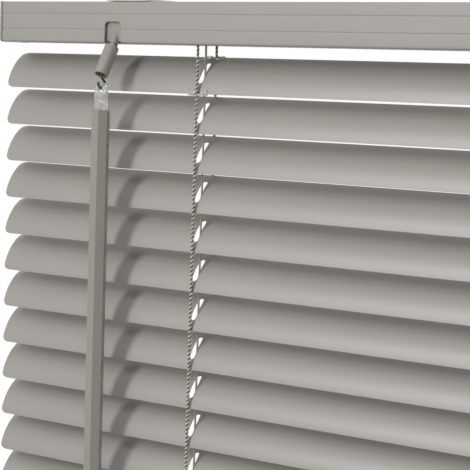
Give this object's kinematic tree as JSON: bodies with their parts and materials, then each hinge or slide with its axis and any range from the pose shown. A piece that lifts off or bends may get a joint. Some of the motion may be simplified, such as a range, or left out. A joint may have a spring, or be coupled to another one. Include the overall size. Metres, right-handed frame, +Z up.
{
  "type": "venetian blind",
  "caption": "Warm grey horizontal slat blind with a steel headrail, ladder strings, spring lift and a hexagonal tilt wand on a wire hook.",
  "frame": {"origin": "centre of the screw face on top of the left bracket", "axes": "+X along the headrail to the right as seen from the room, -Y into the room, +Z up"},
  "size_m": [0.477, 0.0387, 0.3525],
  "materials": {
    "painted_rail": "satin",
    "slat_vinyl": "satin",
    "grey_plastic": "satin",
    "clear_plastic": "clear, glossy",
    "white_plastic": "satin",
    "string": "braided",
    "steel": "drawn"
  },
  "bodies": {
    "headrail_frame": {"headrail": "painted_rail", "end_cap_left": "grey_plastic", "end_cap_right": "grey_plastic", "bracket_left": "white_plastic", "bracket_right": "white_plastic", "tilter_housing": "grey_plastic", "cradle_left": "white_plastic", "cradle_right": "white_plastic", "spring_motor": "white_plastic", "lift_cord_left": "string", "lift_cord_right": "string"},
    "left_lever": {"bracket_lever_left": "white_plastic"},
    "right_lever": {"bracket_lever_right": "white_plastic"},
    "tilt_shaft": {"tilt_rod": "steel", "tilter_gear": "white_plastic", "tilt_drum_left": "white_plastic", "tilt_drum_right": "white_plastic"},
    "tilter_stem": {"tilter_worm": "white_plastic"},
    "sleeve": {"hook_sleeve": "grey_plastic"},
    "hook": {"wire_hook": "steel"},
    "wand_assembly": {"wand_connector": "clear_plastic", "wand": "grey_plastic"},
    "spool": {"cord_spool": "white_plastic"},
    "ladder_front": {"ladder_front_left": "string", "ladder_front_right": "string"},
    "ladder_rear": {"ladder_rear_left": "string", "ladder_rear_right": "string"},
    "cord_ends": {"cord_knot_left": "string", "cord_knot_right": "string"},
    "bottom": {"bottom_rail": "painted_rail", "bottom_cap_left": "grey_plastic", "bottom_cap_right": "grey_plastic"},
    "carrier_01": {"rung_01": "string"},
    "slat_01": {"slat_01": "slat_vinyl"},
    "carrier_02": {"rung_02": "string"},
    "slat_02": {"slat_02": "slat_vinyl"},
    "carrier_03": {"rung_03": "string"},
    "slat_03": {"slat_03": "slat_vinyl"},
    "carrier_04": {"rung_04": "string"},
    "slat_04": {"slat_04": "slat_vinyl"},
    "carrier_05": {"rung_05": "string"},
    "slat_05": {"slat_05": "slat_vinyl"},
    "carrier_06": {"rung_06": "string"},
    "slat_06": {"slat_06": "slat_vinyl"},
    "carrier_07": {"rung_07": "string"},
    "slat_07": {"slat_07": "slat_vinyl"},
    "carrier_08": {"rung_08": "string"},
    "slat_08": {"slat_08": "slat_vinyl"},
    "carrier_09": {"rung_09": "string"},
    "slat_09": {"slat_09": "slat_vinyl"},
    "carrier_10": {"rung_10": "string"},
    "slat_10": {"slat_10": "slat_vinyl"},
    "carrier_11": {"rung_11": "string"},
    "slat_11": {"slat_11": "slat_vinyl"},
    "carrier_12": {"rung_12": "string"},
    "slat_12": {"slat_12": "slat_vinyl"},
    "carrier_13": {"rung_13": "string"},
    "slat_13": {"slat_13": "slat_vinyl"},
    "carrier_14": {"rung_14": "string"},
    "slat_14": {"slat_14": "slat_vinyl"}
  },
  "joints": [
    {"name": "lift", "type": "slide", "parent": "headrail_frame", "child": "cord_ends", "axis": [0, 0, 1], "range_m": [0, 0.2468], "deforming": ["ladder_front_left", "ladder_front_right", "ladder_rear_left", "ladder_rear_right", "lift_cord_left", "lift_cord_right"]},
    {"name": "tilt", "type": "hinge", "parent": "headrail_frame", "child": "tilt_shaft", "pos_m": [-0.0095, 0.0022, -0.013], "axis": [-1, 0, 0], "range_deg": [-24, 101], "deforming": ["ladder_front_left", "ladder_front_right", "ladder_rear_left", "ladder_rear_right", "rung_01", "rung_02", "rung_03", "rung_04", "rung_05", "rung_06", "rung_07", "rung_08", "rung_09", "rung_10", "rung_11", "rung_12", "rung_13", "rung_14", "lift_cord_left", "lift_cord_right"]},
    {"name": "lift_01", "type": "slide", "parent": "headrail_frame", "child": "carrier_01", "axis": [0, 0, 1], "range_m": [0, 0.00151]},
    {"name": "tilt_01", "type": "hinge", "parent": "carrier_01", "child": "slat_01", "pos_m": [0.15, 0, -0.03975], "axis": [-1, 0, 0], "range_deg": [-24.01, 101.01]},
    {"name": "lift_02", "type": "slide", "parent": "headrail_frame", "child": "carrier_02", "axis": [0, 0, 1], "range_m": [0, 0.01961]},
    {"name": "tilt_02", "type": "hinge", "parent": "carrier_02", "child": "slat_02", "pos_m": [0.15, 0, -0.06125], "axis": [-1, 0, 0], "range_deg": [-24.01, 101.01]},
    {"name": "lift_03", "type": "slide", "parent": "headrail_frame", "child": "carrier_03", "axis": [0, 0, 1], "range_m": [0, 0.03771]},
    {"name": "tilt_03", "type": "hinge", "parent": "carrier_03", "child": "slat_03", "pos_m": [0.15, 0, -0.08275], "axis": [-1, 0, 0], "range_deg": [-24.01, 101.01]},
    {"name": "lift_04", "type": "slide", "parent": "headrail_frame", "child": "carrier_04", "axis": [0, 0, 1], "range_m": [0, 0.05581]},
    {"name": "tilt_04", "type": "hinge", "parent": "carrier_04", "child": "slat_04", "pos_m": [0.15, 0, -0.10425], "axis": [-1, 0, 0], "range_deg": [-24.01, 101.01]},
    {"name": "lift_05", "type": "slide", "parent": "headrail_frame", "child": "carrier_05", "axis": [0, 0, 1], "range_m": [0, 0.07391]},
    {"name": "tilt_05", "type": "hinge", "parent": "carrier_05", "child": "slat_05", "pos_m": [0.15, 0, -0.12575], "axis": [-1, 0, 0], "range_deg": [-24.01, 101.01]},
    {"name": "lift_06", "type": "slide", "parent": "headrail_frame", "child": "carrier_06", "axis": [0, 0, 1], "range_m": [0, 0.09201]},
    {"name": "tilt_06", "type": "hinge", "parent": "carrier_06", "child": "slat_06", "pos_m": [0.15, 0, -0.14725], "axis": [-1, 0, 0], "range_deg": [-24.01, 101.01]},
    {"name": "lift_07", "type": "slide", "parent": "headrail_frame", "child": "carrier_07", "axis": [0, 0, 1], "range_m": [0, 0.11011]},
    {"name": "tilt_07", "type": "hinge", "parent": "carrier_07", "child": "slat_07", "pos_m": [0.15, 0, -0.16875], "axis": [-1, 0, 0], "range_deg": [-24.01, 101.01]},
    {"name": "lift_08", "type": "slide", "parent": "headrail_frame", "child": "carrier_08", "axis": [0, 0, 1], "range_m": [0, 0.12821]},
    {"name": "tilt_08", "type": "hinge", "parent": "carrier_08", "child": "slat_08", "pos_m": [0.15, 0, -0.19025], "axis": [-1, 0, 0], "range_deg": [-24.01, 101.01]},
    {"name": "lift_09", "type": "slide", "parent": "headrail_frame", "child": "carrier_09", "axis": [0, 0, 1], "range_m": [0, 0.14631]},
    {"name": "tilt_09", "type": "hinge", "parent": "carrier_09", "child": "slat_09", "pos_m": [0.15, 0, -0.21175], "axis": [-1, 0, 0], "range_deg": [-24.01, 101.01]},
    {"name": "lift_10", "type": "slide", "parent": "headrail_frame", "child": "carrier_10", "axis": [0, 0, 1], "range_m": [0, 0.16441]},
    {"name": "tilt_10", "type": "hinge", "parent": "carrier_10", "child": "slat_10", "pos_m": [0.15, 0, -0.23325], "axis": [-1, 0, 0], "range_deg": [-24.01, 101.01]},
    {"name": "lift_11", "type": "slide", "parent": "headrail_frame", "child": "carrier_11", "axis": [0, 0, 1], "range_m": [0, 0.18251]},
    {"name": "tilt_11", "type": "hinge", "parent": "carrier_11", "child": "slat_11", "pos_m": [0.15, 0, -0.25475], "axis": [-1, 0, 0], "range_deg": [-24.01, 101.01]},
    {"name": "lift_12", "type": "slide", "parent": "headrail_frame", "child": "carrier_12", "axis": [0, 0, 1], "range_m": [0, 0.20061]},
    {"name": "tilt_12", "type": "hinge", "parent": "carrier_12", "child": "slat_12", "pos_m": [0.15, 0, -0.27625], "axis": [-1, 0, 0], "range_deg": [-24.01, 101.01]},
    {"name": "lift_13", "type": "slide", "parent": "headrail_frame", "child": "carrier_13", "axis": [0, 0, 1], "range_m": [0, 0.21871]},
    {"name": "tilt_13", "type": "hinge", "parent": "carrier_13", "child": "slat_13", "pos_m": [0.15, 0, -0.29775], "axis": [-1, 0, 0], "range_deg": [-24.01, 101.01]},
    {"name": "lift_14", "type": "slide", "parent": "headrail_frame", "child": "carrier_14", "axis": [0, 0, 1], "range_m": [0, 0.23681]},
    {"name": "tilt_14", "type": "hinge", "parent": "carrier_14", "child": "slat_14", "pos_m": [0.15, 0, -0.31925], "axis": [-1, 0, 0], "range_deg": [-24.01, 101.01]},
    {"name": "tilt_bottom", "type": "hinge", "parent": "cord_ends", "child": "bottom", "pos_m": [0.15, 0, -0.33925], "axis": [-1, 0, 0], "range_deg": [-24.01, 101.01]},
    {"name": "ladder_front_shift", "type": "hinge", "parent": "tilt_shaft", "child": "ladder_front", "pos_m": [0.046, -0.00508, -0.02525], "axis": [-1, 0, 0], "range_deg": [-101.01, 24.01]},
    {"name": "ladder_rear_shift", "type": "hinge", "parent": "tilt_shaft", "child": "ladder_rear", "pos_m": [0.046, 0.01197, -0.00263], "axis": [-1, 0, 0], "range_deg": [-101.01, 24.01]},
    {"name": "stem_turn", "type": "hinge", "parent": "headrail_frame", "child": "tilter_stem", "pos_m": [-0.0095, -0.0125, -0.026], "axis": [0, 0.5, 0.866], "range_deg": [-360.1, 1515.1]},
    {"name": "sleeve_slide", "type": "slide", "parent": "tilter_stem", "child": "sleeve", "axis": [0, 0.5, 0.866], "range_m": [0, 0.003]},
    {"name": "hook_turn", "type": "hinge", "parent": "headrail_frame", "child": "hook", "pos_m": [-0.0095, -0.021, -0.04917], "axis": [0, 0, 1], "range_deg": [-360.1, 1515.1]},
    {"name": "wand_swing", "type": "hinge", "parent": "hook", "child": "wand_assembly", "pos_m": [-0.0095, -0.021, -0.04917], "axis": [0, 1, 0], "range_deg": [-40, 40]},
    {"name": "spool_turn", "type": "hinge", "parent": "headrail_frame", "child": "spool", "pos_m": [0.144, 0, -0.0195], "axis": [0, 0, 1], "range_deg": [0, 2525.61]},
    {"name": "lever_left", "type": "hinge", "parent": "headrail_frame", "child": "left_lever", "pos_m": [0, 0.007, 0], "axis": [0, 0, 1], "range_deg": [0, 90]},
    {"name": "lever_right", "type": "hinge", "parent": "headrail_frame", "child": "right_lever", "pos_m": [0.288, 0.007, 0], "axis": [0, 0, 1], "range_deg": [0, 90]}
  ],
  "couplings": [
    {"joint": "lift_01", "follows": "lift", "ratio": 0.0060778},
    {"joint": "tilt_01", "follows": "tilt", "ratio": 1},
    {"joint": "lift_02", "follows": "lift", "ratio": 0.079417},
    {"joint": "tilt_02", "follows": "tilt", "ratio": 1},
    {"joint": "lift_03", "follows": "lift", "ratio": 0.15276},
    {"joint": "tilt_03", "follows": "tilt", "ratio": 1},
    {"joint": "lift_04", "follows": "lift", "ratio": 0.22609},
    {"joint": "tilt_04", "follows": "tilt", "ratio": 1},
    {"joint": "lift_05", "follows": "lift", "ratio": 0.29943},
    {"joint": "tilt_05", "follows": "tilt", "ratio": 1},
    {"joint": "lift_06", "follows": "lift", "ratio": 0.37277},
    {"joint": "tilt_06", "follows": "tilt", "ratio": 1},
    {"joint": "lift_07", "follows": "lift", "ratio": 0.44611},
    {"joint": "tilt_07", "follows": "tilt", "ratio": 1},
    {"joint": "lift_08", "follows": "lift", "ratio": 0.51945},
    {"joint": "tilt_08", "follows": "tilt", "ratio": 1},
    {"joint": "lift_09", "follows": "lift", "ratio": 0.59279},
    {"joint": "tilt_09", "follows": "tilt", "ratio": 1},
    {"joint": "lift_10", "follows": "lift", "ratio": 0.66613},
    {"joint": "tilt_10", "follows": "tilt", "ratio": 1},
    {"joint": "lift_11", "follows": "lift", "ratio": 0.73947},
    {"joint": "tilt_11", "follows": "tilt", "ratio": 1},
    {"joint": "lift_12", "follows": "lift", "ratio": 0.8128},
    {"joint": "tilt_12", "follows": "tilt", "ratio": 1},
    {"joint": "lift_13", "follows": "lift", "ratio": 0.88614},
    {"joint": "tilt_13", "follows": "tilt", "ratio": 1},
    {"joint": "lift_14", "follows": "lift", "ratio": 0.95948},
    {"joint": "tilt_14", "follows": "tilt", "ratio": 1},
    {"joint": "tilt_bottom", "follows": "tilt", "ratio": 1},
    {"joint": "ladder_front_shift", "follows": "tilt", "ratio": -1},
    {"joint": "ladder_rear_shift", "follows": "tilt", "ratio": -1},
    {"joint": "stem_turn", "follows": "tilt", "ratio": 15},
    {"joint": "hook_turn", "follows": "tilt", "ratio": 15},
    {"joint": "spool_turn", "follows": "lift", "rad_per_m": 178.57}
  ]
}
